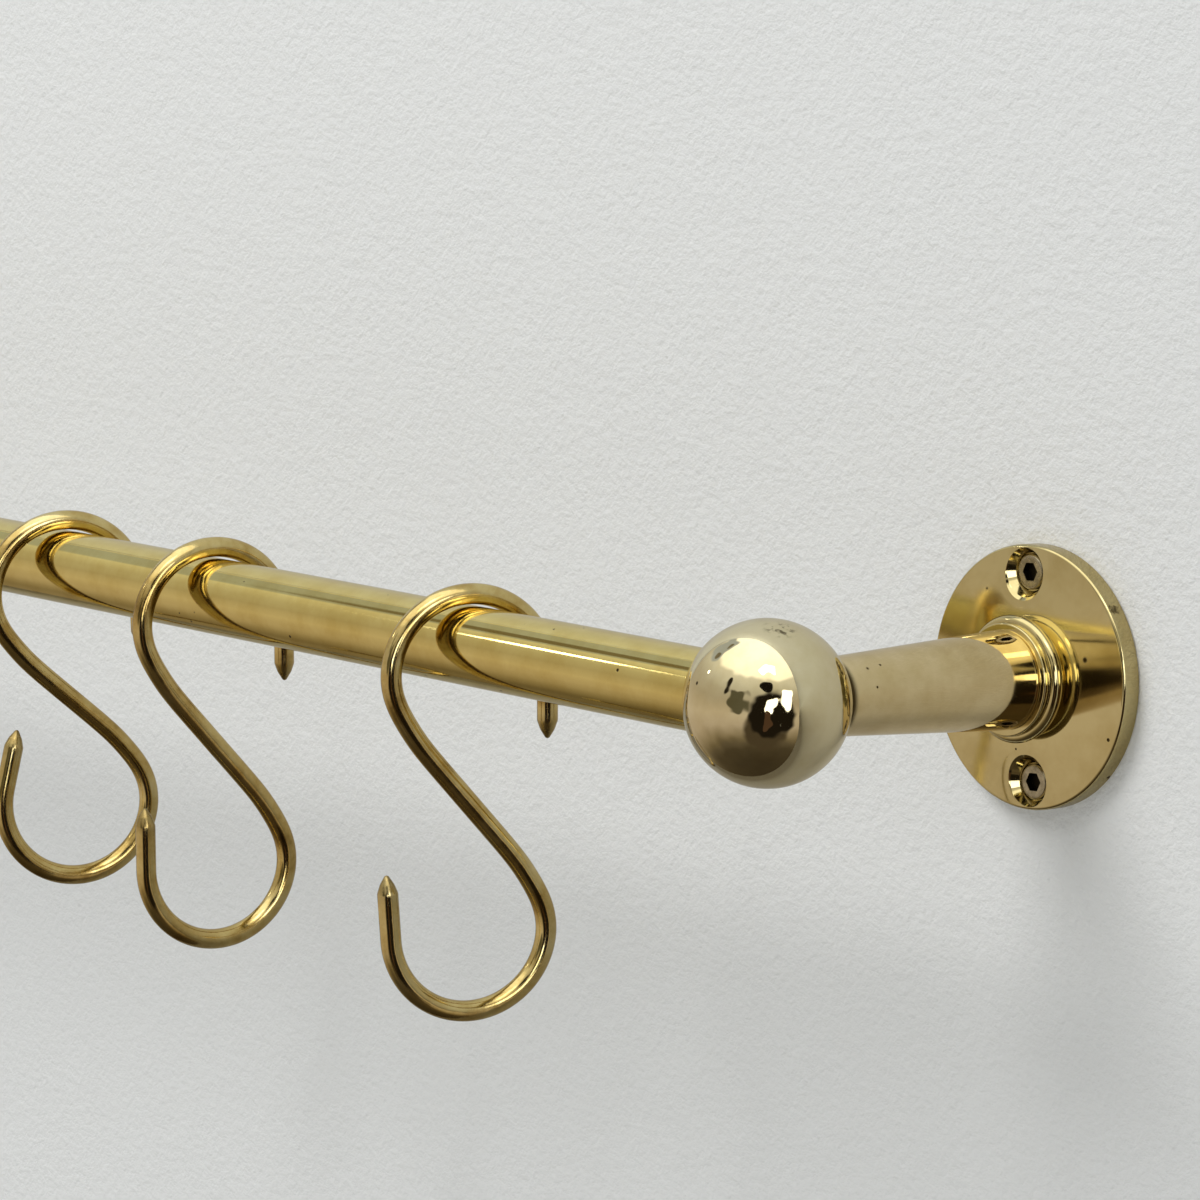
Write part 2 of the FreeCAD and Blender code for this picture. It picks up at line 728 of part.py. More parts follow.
brackets = (
    ("right", 1, dim.right_flange_turn),
    ("left", -1, dim.left_flange_turn),
)
hooks = (
    ("right", dim.right_hook_height, dim.right_hook_inset, dim.right_hook_turn, dim.right_hook_swing,
     dim.right_hook_bend),
    ("middle", dim.middle_hook_height, dim.middle_hook_inset, dim.middle_hook_turn, dim.middle_hook_swing,
     dim.middle_hook_bend),
    ("left", dim.left_hook_height, dim.left_hook_inset, dim.left_hook_turn, dim.left_hook_swing,
     dim.left_hook_bend),
)

fill_sheet()
nodes = [make_rail()]
for bracket_side, bracket_sign, bracket_turn in brackets:
    nodes.append(make_ball(bracket_side, bracket_sign))
    nodes.append(make_stem(bracket_side, bracket_sign))
    nodes.append(make_flange(bracket_side, bracket_sign, bracket_turn))
nodes += [make_wall_screws(), make_ball_studs(), make_flange_bolts(), make_set_screws()]
for hook in hooks:
    nodes.append(make_hook(*hook))
check_document(nodes)
export(nodes)
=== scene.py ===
import math

import bmesh
import bpy
import numpy as np
from mathutils import Matrix, Vector


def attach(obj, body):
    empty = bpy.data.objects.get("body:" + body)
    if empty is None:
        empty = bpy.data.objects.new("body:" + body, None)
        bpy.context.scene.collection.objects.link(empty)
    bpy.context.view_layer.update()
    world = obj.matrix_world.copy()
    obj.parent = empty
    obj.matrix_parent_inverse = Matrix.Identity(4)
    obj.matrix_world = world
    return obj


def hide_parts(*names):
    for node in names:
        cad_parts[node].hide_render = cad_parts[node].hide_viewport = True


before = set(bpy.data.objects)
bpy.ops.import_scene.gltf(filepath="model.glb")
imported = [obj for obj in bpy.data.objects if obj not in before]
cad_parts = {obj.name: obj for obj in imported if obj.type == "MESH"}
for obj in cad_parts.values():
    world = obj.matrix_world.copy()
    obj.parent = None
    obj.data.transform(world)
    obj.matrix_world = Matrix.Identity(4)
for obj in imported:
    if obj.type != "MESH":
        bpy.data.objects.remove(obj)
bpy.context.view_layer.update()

# Sizes of the brass pieces, in millimetres, as the solids have them.
MM = 0.001
BALL_X = 250.0
STAND_OFF = 86.0
RAIL_RADIUS = 9.5
RAIL_WALL = 1.5
BALL_RADIUS = 18.8
SOCKET_FLOOR = 6.0
SOCKET_RADIUS = 9.55
STEM_TIP_RADIUS = 8.8
STEM_TIP_BEVEL = 0.9
STEM_ROOT_RADIUS = 11.6
SPIGOT_RADIUS = 7.0
SPIGOT_BORE_RADIUS = 7.05
STUD_HOLE_RADIUS = 4.05
STUD_HOLE_DEPTH = 13.4
BALL_HOLE_DEPTH = 11.4
BOLT_HOLE_DEPTH = 14.6
FLANGE_RADIUS = 30.7
FACE_Y = -5.4
FACE_CROWN = 0.0016
BEAD_RADIUS = 14.8
BEAD_Y = -10.9
RING_RADIUS = 13.1
NECK_Y = -12.6
SPIGOT_FLOOR_Y = -8.6
SPIGOT_END_Y = -8.8
BOLT_SEAT_Y = -5.4
BOLT_BORE_RADIUS = 4.25
BOLT_RECESS_RADIUS = 7.0
BEAD_UNDERCUT = 2.4
SCREW_RING = 24.3
SCREW_SEAT_Y = -1.1
SCREW_HEAD_Y = -3.5
SCREW_BORE_RADIUS = 2.75
SCREW_RECESS_RADIUS = 4.5
SCREW_RECESS_SLOPE_Y = -2.9
SCREW_RECESS_SHOULDER = 5.8
SCREW_RECESS_MOUTH = 6.5
SCREW_HEAD_RADIUS = 4.15
SCREW_HEAD_DEPTH = 2.4
SCREW_SHANK_RADIUS = 2.5
SCREW_KEY_HALF_WIDTH = 2.0
SCREW_KEY_DEPTH = 1.6
SCREW_PLAIN_END = 3.5
SCREW_END = 43.5
SCREW_SEGMENTS = 96
THREAD_PITCH = 0.8
THREAD_MEAN_RADIUS = 2.25
THREAD_SWING = 0.24
SET_SCREW_INSET = 11.0
SET_SCREW_HOLE_RADIUS = 2.55
RIGHT_FLANGE_TURN = 4.5
LEFT_FLANGE_TURN = 0.0
WIRE_RADIUS = 2.5
HOOK_LOOP = 19.7
HOOK_PRONG = 11.2
HOOK_TIP = 4.6
HOOK_EASE = 7.0
HOOK_PIVOT_Z = RAIL_RADIUS + 0.3 - (HOOK_LOOP - WIRE_RADIUS)
# Each hook: place along the rail, height, turn about the vertical, swing to the wall, bend of its prong.
HOOKS = (("right_hook", 146.5, 105.0, 19.0, 1.6, -4.0), ("middle_hook", 44.5, 105.0, 10.5, 2.4, 0.0),
         ("left_hook", -20.5, 99.0, 19.0, 4.2, 15.0))
# Where the stem's end meets the ball: the bevel's foot lies on the sphere.
STEM_TIP_Y = math.sqrt(BALL_RADIUS ** 2 - (STEM_TIP_RADIUS - STEM_TIP_BEVEL) ** 2) - STAND_OFF
# Wall and floor behind and below the rail, and the viewpoint, in metres; the roll is in degrees.
STAGE_REACH = 4.0
FLOOR_REACH = 5.0
FLOOR_Z = -0.6
WALL_TOP = 2.4
WALL_GAP = 0.0002
CAMERA_PLACE = (1.04871, -0.82382, 0.16085)
CAMERA_TARGET = (0.10956, -0.01431, 0.00215)
CAMERA_ROLL = 1.736


def rounded(corners, steps=6, hold=0.04):
    """Profile with rounded corners.

    Each corner is (a, b, radius). A corner of radius r is swapped for a circle's arc that touches
    both of its sides, at r * tan(half the turn) from the corner; one more point just outside each
    end of the arc keeps the flat sides flat under smooth shading.
    """
    table = np.array(corners, float)
    spots, radii = table[:, :2], table[:, 2]
    before = np.roll(spots, 1, axis=0) - spots
    after = np.roll(spots, -1, axis=0) - spots
    before /= np.maximum(np.linalg.norm(before, axis=1), 1e-9)[:, None]
    after /= np.maximum(np.linalg.norm(after, axis=1), 1e-9)[:, None]
    out = []
    for spot, radius, one, two in zip(spots, radii, before, after):
        inside = math.acos(max(-1.0, min(1.0, float(one @ two))))
        if radius == 0.0:
            out.append(spot[None])
            continue
        reach = radius / math.tan(inside / 2)
        middle = one + two
        centre = spot + middle / np.linalg.norm(middle) * radius / math.sin(inside / 2)
        first = spot + one * reach - centre
        last = spot + two * reach - centre
        share = np.linspace(0.0, 1.0, steps + 1)[:, None]
        sweep = math.pi - inside
        arc = (np.sin((1 - share) * sweep) * first + np.sin(share * sweep) * last) / math.sin(sweep)
        out += [spot[None] + one * (reach + hold), centre + arc, spot[None] + two * (reach + hold)]
    return np.vstack(out)


def turned(profile, axis, origin, segments, closed, hexagon=None):
    """A turned shell: (radius, distance) pairs carried round an axis.

    Point(i, t) = origin + distance_i * axis + radius_i * (cos t * side + sin t * up). Rings with a
    hexagon share of 1 have radius_i / cos(t folded to within 30 degrees of a flat's middle) instead,
    which draws a hexagon of that half width. A closed profile joins its last ring to its first; an
    open one starts and ends on the axis, where one point closes it.
    """
    axis = np.array(axis, float)
    side = np.array((1.0, 0.0, 0.0)) if abs(axis[0]) < 0.5 else np.array((0.0, 1.0, 0.0))
    up = np.cross(axis, side)
    turn = np.arange(segments) * (2 * math.pi / segments)
    spread = np.ones((len(profile), segments))
    if hexagon is not None:
        fold = np.mod(turn, math.pi / 3) - math.pi / 6
        share = np.asarray(hexagon, float)[:, None]
        spread = (1 - share) + share / np.cos(fold)[None]
    reach = profile[:, :1] * spread
    around = np.cos(turn)[:, None] * side + np.sin(turn)[:, None] * up
    points = np.array(origin, float) + profile[:, 1, None, None] * axis + reach[:, :, None] * around[None]
    if closed:
        return grid_shell(points, True)
    ends = np.array(origin, float) + profile[[0, -1], 1][:, None] * axis
    return grid_shell(points[1:-1], False, ends)


def grid_shell(points, closed, ends=None):
    """Faces of a grid of rings: quads between neighbours, and a fan from each end point if given."""
    rings, segments = points.shape[:2]
    ring = np.arange(rings if closed else rings - 1)[:, None]
    step = np.arange(segments)[None]
    after = (step + 1) % segments
    above = (ring + 1) % rings
    quads = np.stack([ring * segments + step, above * segments + step,
                      above * segments + after, ring * segments + after], -1).reshape(-1, 4)
    spots = points.reshape(-1, 3)
    fans = np.zeros((0, 3), int)
    if ends is not None:
        low = np.full(segments, len(spots))
        base = (rings - 1) * segments
        fans = np.vstack([np.stack([low, step[0], after[0]], -1),
                          np.stack([low + 1, base + after[0], base + step[0]], -1)])
        spots = np.vstack([spots, ends])
    return spots, quads, fans


def joined(shells):
    """Several shells as one set of points and faces."""
    starts = np.cumsum([0] + [len(shell[0]) for shell in shells[:-1]])
    spots = np.vstack([shell[0] for shell in shells])
    quads = np.vstack([shell[1] + start for shell, start in zip(shells, starts)])
    fans = np.vstack([shell[2] + start for shell, start in zip(shells, starts)])
    return spots, quads, fans


def as_object(name, shell, sharp=32.0):
    """A mesh object from a shell in millimetres, faces outwards, smooth up to the sharp angle."""
    spots, quads, fans = shell
    mesh = bpy.data.meshes.new(name)
    mesh.from_pydata((spots * MM).tolist(), [], quads.tolist() + fans.tolist())
    work = bmesh.new()
    work.from_mesh(mesh)
    bmesh.ops.recalc_face_normals(work, faces=work.faces)
    work.to_mesh(mesh)
    work.free()
    finish_shading(mesh, sharp)
    piece = bpy.data.objects.new(name, mesh)
    bpy.context.scene.collection.objects.link(piece)
    return piece


def mark_points(piece, name, shares):
    """Keeps a share from 0 to 1 for each point of a piece, for its material to read."""
    layer = piece.data.attributes.new(name, "FLOAT", "POINT")
    layer.data.foreach_set("value", shares.astype(np.float32))


def finish_shading(mesh, sharp):
    """Smooth shading that breaks at edges sharper than an angle."""
    mesh.shade_smooth()
    mesh.set_sharp_from_angle(angle=math.radians(sharp))


def cut(piece, shells, sharp=32.0):
    """Takes closed shells out of a piece, as a drill or cutter would."""
    tool = as_object("cutter", joined(shells))
    step = piece.modifiers.new("cut", "BOOLEAN")
    step.operation = "DIFFERENCE"
    step.solver = "EXACT"
    step.object = tool
    graph = bpy.context.evaluated_depsgraph_get()
    mesh = bpy.data.meshes.new_from_object(piece.evaluated_get(graph))
    piece.modifiers.clear()
    piece.data = mesh
    bpy.data.objects.remove(tool)
    finish_shading(mesh, sharp)


def turned_about(shell, degrees, x):
    """A shell turned about the Y direction through (x, 0, 0)."""
    spots, quads, fans = shell
    angle = math.radians(degrees)
    from_axis = spots - (x, 0.0, 0.0)
    across = from_axis[:, 0] * math.cos(angle) + from_axis[:, 2] * math.sin(angle)
    upright = from_axis[:, 2] * math.cos(angle) - from_axis[:, 0] * math.sin(angle)
    return np.stack([across + x, from_axis[:, 1], upright], -1), quads, fans


def plug(radii_and_places, axis, origin, segments=64):
    """A closed turned plug through its corners, for cutting holes."""
    return turned(np.array(radii_and_places, float), axis, origin, segments, False)


def rail_tube():
    """The rail: a hollow tube along X whose ends stand in the balls."""
    end = BALL_X - SOCKET_FLOOR
    inner = RAIL_RADIUS - RAIL_WALL
    profile = rounded([(RAIL_RADIUS, -end, 0.3), (RAIL_RADIUS, end, 0.3),
                       (inner, end, 0.3), (inner, -end, 0.3)])
    return as_object("rail", turned(profile, (1, 0, 0), (0, -STAND_OFF, 0), 192, True))


def ball(name, sign):
    """A ball turned about the rail's axis: sphere, socket and the two drilled holes.

    The sphere's part is radius = R sin(a), distance = R cos(a), from the far pole to the socket.
    """
    mouth = math.asin(SOCKET_RADIUS / BALL_RADIUS)
    bow = np.linspace(0.0, math.pi - mouth, 160)
    sphere = np.stack([BALL_RADIUS * np.sin(bow), BALL_RADIUS * np.cos(bow)], -1)
    lip = sphere[-1, 1]
    bore = np.array([(SOCKET_RADIUS, lip + 0.3), (SOCKET_RADIUS, -SOCKET_FLOOR - 0.02),
                     (SOCKET_RADIUS - 0.02, -SOCKET_FLOOR), (0.0, -SOCKET_FLOOR)])
    profile = np.vstack([sphere, bore]) * (1, sign)
    centre = (BALL_X * sign, -STAND_OFF, 0)
    piece = as_object(name, turned(profile, (1, 0, 0), centre, 256, False))
    seat = STEM_TIP_Y + STAND_OFF
    stem_side = plug([(0, seat - BALL_HOLE_DEPTH), (STUD_HOLE_RADIUS, seat - BALL_HOLE_DEPTH),
                      (STUD_HOLE_RADIUS, seat), (BALL_RADIUS, seat), (BALL_RADIUS, seat + 5), (0, seat + 5)],
                     (0, 1, 0), centre)
    lock = plug([(0, 0), (SET_SCREW_HOLE_RADIUS, 0), (SET_SCREW_HOLE_RADIUS, 30), (0, 30)], (0, 0, -1),
                ((BALL_X - SET_SCREW_INSET) * sign, -STAND_OFF, 0))
    cut(piece, [stem_side])
    cut(piece, [lock])
    return piece


def stem(name, sign):
    """The tapered stem with its bevelled ends, spigot and two blind holes, turned about Y."""
    seat = STEM_TIP_RADIUS - 0.5
    stud_floor = STEM_TIP_Y + STUD_HOLE_DEPTH
    bolt_floor = SPIGOT_END_Y - BOLT_HOLE_DEPTH
    corners = [(0, stud_floor, 0), (STUD_HOLE_RADIUS, stud_floor, 0), (STUD_HOLE_RADIUS, STEM_TIP_Y, 0),
               (seat, STEM_TIP_Y, 0), (STEM_TIP_RADIUS, STEM_TIP_Y + 0.5, 0.4),
               (STEM_ROOT_RADIUS, NECK_Y, 0.5), (SPIGOT_RADIUS, NECK_Y, 0), (SPIGOT_RADIUS, SPIGOT_END_Y, 0),
               (STUD_HOLE_RADIUS, SPIGOT_END_Y, 0), (STUD_HOLE_RADIUS, bolt_floor, 0), (0, bolt_floor, 0)]
    return as_object(name, turned(rounded(corners), (0, 1, 0), (BALL_X * sign, 0, 0), 192, False))


def flange(name, sign, flange_turn):
    """The wall flange turned about Y, then drilled twice for its stepped screw holes.

    Buffing has crowned its face: distance = FACE_Y + FACE_CROWN * (radius^2 - SCREW_RING^2).
    """
    spans = np.linspace(FLANGE_RADIUS, BEAD_RADIUS - BEAD_UNDERCUT, 24)
    crown = [(radius, FACE_Y + FACE_CROWN * (radius ** 2 - SCREW_RING ** 2), 0) for radius in spans]
    corners = [(BOLT_RECESS_RADIUS, 0, 0), (FLANGE_RADIUS, 0, 0.3), (*crown[0][:2], 0.8), *crown[3:],
               (BEAD_RADIUS, FACE_Y - 1.3, 3.9), (BEAD_RADIUS, BEAD_Y, 1.6), (RING_RADIUS, BEAD_Y, 0.05),
               (RING_RADIUS, NECK_Y, 0.4), (SPIGOT_BORE_RADIUS, NECK_Y, 0),
               (SPIGOT_BORE_RADIUS, SPIGOT_FLOOR_Y, 0), (BOLT_BORE_RADIUS, SPIGOT_FLOOR_Y, 0),
               (BOLT_BORE_RADIUS, BOLT_SEAT_Y, 0), (BOLT_RECESS_RADIUS, BOLT_SEAT_Y, 0)]
    x = BALL_X * sign
    piece = as_object(name, turned(rounded(corners, 8), (0, 1, 0), (x, 0, 0), 256, True))
    holes = []
    for up in (1, -1):
        hole = rounded([(0, 2, 0), (SCREW_BORE_RADIUS, 2, 0), (SCREW_BORE_RADIUS, SCREW_SEAT_Y, 0),
                        (SCREW_RECESS_RADIUS, SCREW_SEAT_Y, 0),
                        (SCREW_RECESS_RADIUS, SCREW_RECESS_SLOPE_Y, 0.4),
                        (SCREW_RECESS_SHOULDER, FACE_Y + 0.3, 0.5), (SCREW_RECESS_MOUTH, FACE_Y - 0.4, 0),
                        (SCREW_RECESS_MOUTH, FACE_Y - 2, 0), (0, FACE_Y - 2, 0)], 6, 0.02)
        shell = turned(hole, (0, 1, 0), (x, 0, SCREW_RING * up), 96, False)
        holes.append(turned_about(shell, -flange_turn, x))
    cut(piece, holes)
    return piece


def wall_screw(x, z):
    """A socket screw: hexagon socket, bevelled head, plain shank and a cut thread.

    The thread's radius is its mean plus a triangle wave of (distance / pitch - turn / full turn).
    """
    key, head, shank = SCREW_KEY_HALF_WIDTH, SCREW_HEAD_RADIUS, SCREW_SHANK_RADIUS
    corners = np.array([(0, SCREW_KEY_DEPTH, 1), (key - 0.02, SCREW_KEY_DEPTH, 1),
                        (key, SCREW_KEY_DEPTH - 0.02, 1), (key, 0.12, 1), (key + 0.06, 0.0, 1),
                        (3.2, 0.0, 0), (head - 0.42, 0.0, 0),
                        (head - 0.35, 0.03, 0), (head - 0.05, 0.33, 0), (head, 0.42, 0),
                        (head, SCREW_HEAD_DEPTH - 0.02, 0), (head - 0.03, SCREW_HEAD_DEPTH, 0),
                        (shank + 0.05, SCREW_HEAD_DEPTH, 0), (shank, SCREW_HEAD_DEPTH + 0.05, 0),
                        (shank, SCREW_PLAIN_END - 0.08, 0), (shank - 0.08, SCREW_PLAIN_END, 0),
                        (0, SCREW_PLAIN_END, 0)])
    cap = turned(corners[:, :2], (0, 1, 0), (x, SCREW_HEAD_Y, z), SCREW_SEGMENTS, False, corners[:, 2])
    along = np.arange(SCREW_PLAIN_END - 0.1, SCREW_END - 0.6, THREAD_PITCH / 8)
    turn = np.arange(48) * (2 * math.pi / 48)
    phase = np.mod(along[:, None] / THREAD_PITCH - turn[None] / (2 * math.pi), 1.0)
    crest = THREAD_MEAN_RADIUS + THREAD_SWING * (1 - 4 * np.abs(phase - 0.5))
    point = np.clip((SCREW_END - along) / 1.6, 0.55, 1.0)
    run_out = np.clip((along - 2.9) / 0.8, 0.85, 1.0)
    taper = (point * run_out)[:, None]
    reach = crest * taper
    points = np.stack([x + reach * np.cos(turn), np.broadcast_to(SCREW_HEAD_Y + along[:, None], reach.shape),
                       z + reach * np.sin(turn)], -1)
    ends = np.array([(x, points[0, 0, 1], z), (x, points[-1, 0, 1] + 0.3, z)])
    thread = grid_shell(points, False, ends)
    # Painted shade: the key socket's walls and floor are marked, and the steel paints them near-black.
    in_socket = (corners[1:-1, 2] > 0) & (corners[1:-1, 1] > 0)
    dirty = np.concatenate([np.repeat(in_socket, SCREW_SEGMENTS), [True, False],
                            np.zeros(len(thread[0]), bool)])
    return joined([cap, thread]), dirty


def wall_screws():
    """Two screws in each flange, turned with it."""
    shells, dirt = [], []
    for sign, flange_turn in ((1, RIGHT_FLANGE_TURN), (-1, LEFT_FLANGE_TURN)):
        x = BALL_X * sign
        for up in (1, -1):
            shell, dirty = wall_screw(x, SCREW_RING * up)
            shells.append(turned_about(shell, -flange_turn, x))
            dirt.append(dirty)
    piece = as_object("wall_screws_threaded", joined(shells), 40.0)
    # The socket marks carry the painted shade of the key sockets.
    mark_points(piece, "socket_dirt", np.concatenate(dirt))
    return piece


def hook_line(centres, bend):
    """The wire's centre line and radius: two straight prongs, two loops and their inner tangent.

    Loops are circle arcs of radius HOOK_LOOP about (0, 0) and (0, -centres); the straight diagonal leaves
    them at the angle whose sine is 2 * radius / centres. The front half is drawn like the rear one, with its
    prong bent inwards, and turned by 180 degrees. Where a loop runs into the diagonal the line is eased: it
    moves towards its own average over HOOK_EASE, by a bell-shaped share about each of the two places. Each
    point shrinks along its filed length in two bevels.
    """
    lean = math.asin(2 * HOOK_LOOP / centres)
    middle = np.array((0.0, -centres / 2))
    filed = np.array([0.0, 0.04, 0.2, 0.45, 0.5, 0.55, 0.75, 0.93, 1.0])
    halves = []
    for inward in (0.0, math.radians(bend)):
        way = np.array((math.sin(inward), math.cos(inward)))
        arc = np.linspace(-inward, math.pi + lean, 180)
        loop = HOOK_LOOP * np.stack([np.cos(arc), np.sin(arc)], -1)
        back = np.concatenate([HOOK_PRONG + HOOK_TIP * (1 - filed), HOOK_PRONG * np.linspace(1, 0, 14)[1:-1]])
        run = loop[-1] + np.linspace(0, 1, 24)[1:, None] * (middle - loop[-1])
        halves.append(np.vstack([loop[0] - back[:, None] * way, loop, run]))
    rear, front = halves
    line = np.vstack([rear, (2 * middle - front)[::-1][1:]])
    gaps = np.linalg.norm(np.diff(line, axis=0), axis=1)
    along = np.concatenate([[0.0], np.cumsum(gaps)])
    weight = np.exp(-0.5 * ((along[:, None] - along) / HOOK_EASE) ** 2) * np.gradient(along)
    eased = (weight / weight.sum(axis=1)[:, None]) @ line
    bends = along[[len(rear) - 24, len(rear) + 22]]
    share = np.exp(-((along[:, None] - bends) / (1.6 * HOOK_EASE)) ** 2).max(axis=1)[:, None]
    line = line + share * (eased - line)
    bevels = np.array([(0.0, 0.03), (0.04, 0.2), (0.45, 0.66), (0.55, 0.74), (0.93, 0.985), (1.0, 1.0)])
    point = WIRE_RADIUS * np.interp(filed, bevels[:, 0], bevels[:, 1])
    thick = np.full(len(line), WIRE_RADIUS)
    thick[:len(filed)] = point
    thick[-len(filed):] = point[::-1]
    return line, thick, along


def hook(name, x, height, hook_turn, swing, bend):
    """An S-hook: a circle of wire carried along the centre line in the hook's own upright plane.

    Point(i, t) = line_i + thick_i * (cos t * level + sin t * across), where level is the plane's
    normal and across the line's own normal within the plane.
    """
    line, thick, along = hook_line(height - 2 * (HOOK_LOOP + WIRE_RADIUS), bend)
    tilt = math.radians(swing)
    line = np.stack([line[:, 0] * math.cos(tilt) - line[:, 1] * math.sin(tilt),
                     line[:, 0] * math.sin(tilt) + line[:, 1] * math.cos(tilt)], -1)
    heading = np.gradient(line, axis=0)
    heading /= np.linalg.norm(heading, axis=1)[:, None]
    angle = math.radians(hook_turn)
    to_wall = np.array((math.sin(angle), math.cos(angle), 0.0))
    level = np.array((math.cos(angle), -math.sin(angle), 0.0))
    up = np.array((0.0, 0.0, 1.0))
    pivot = np.array((x, -STAND_OFF, HOOK_PIVOT_Z))
    centre = pivot + line[:, :1] * to_wall + line[:, 1:] * up
    across = -heading[:, 1:] * to_wall + heading[:, :1] * up
    turn = np.arange(64) * (2 * math.pi / 64)
    ring = np.cos(turn)[None, :, None] * level + np.sin(turn)[None, :, None] * across[:, None]
    points = centre[:, None] + thick[:, None, None] * ring
    piece = as_object(name, grid_shell(points, False, centre[[0, -1]]), 60.0)
    from_end = np.minimum(along, along[-1] - along)
    share = np.repeat(np.clip(1 - from_end / (HOOK_TIP + 3.0), 0, 1), len(turn))
    mark_points(piece, "filed_end", np.concatenate([share, [1.0, 1.0]]))
    return piece


def paint(hex_code):
    """sRGB hex to a linear colour, each channel by the sRGB curve."""
    channels = np.array([int(hex_code[i:i + 2], 16) for i in (1, 3, 5)]) / 255.0
    linear = np.where(channels <= 0.04045, channels / 12.92, ((channels + 0.055) / 1.055) ** 2.4)
    return (*linear.tolist(), 1.0)


def add(tree, kind, settings=None, **inputs):
    """Adds a node with its settings; each input, named or i and its number, is a value or a socket."""
    node = tree.nodes.new(kind)
    for key, value in (settings or {}).items():
        setattr(node, key, value)
    for key, value in inputs.items():
        by_number = key[0] == "i" and key[1:].isdigit()
        socket = node.inputs[int(key[1:]) if by_number else key.replace("_", " ")]
        if isinstance(value, bpy.types.NodeSocket):
            tree.links.new(value, socket)
        else:
            socket.default_value = value
    return node


def ramp(tree, factor, stops, interpolation="LINEAR"):
    """A colour ramp through (place, hex) stops."""
    node = add(tree, "ShaderNodeValToRGB", None, Fac=factor)
    node.color_ramp.interpolation = interpolation
    points = node.color_ramp.elements
    while len(points) < len(stops):
        points.new(0.5)
    for point, (place, hex_code) in zip(points, stops):
        point.position = place
        point.color = paint(hex_code)
    return node.outputs["Color"]


def new_material(name):
    """A material with one Principled surface; gives back its tree, surface and output too."""
    material = bpy.data.materials.new(name)
    material.use_nodes = True
    tree = material.node_tree
    tree.nodes.clear()
    surface = add(tree, "ShaderNodeBsdfPrincipled")
    output = add(tree, "ShaderNodeOutputMaterial", None, Surface=surface.outputs[0])
    return material, tree, surface, output


def link(tree, socket, target):
    """Feeds a socket into an input."""
    tree.links.new(socket, target)


def near(tree, place, centre_mm, radius_mm, soft_mm):
    """1 within a radius of a spot on the object, fading to 0 over the soft distance."""
    apart = add(tree, "ShaderNodeVectorMath", {"operation": "DISTANCE"}, i0=place,
                i1=[v * MM for v in centre_mm]).outputs["Value"]
    fade = add(tree, "ShaderNodeMapRange", {"interpolation_type": "SMOOTHSTEP"}, Value=apart,
               From_Min=radius_mm * MM, From_Max=(radius_mm + soft_mm) * MM, To_Min=1.0, To_Max=0.0)
    return fade.outputs["Result"]


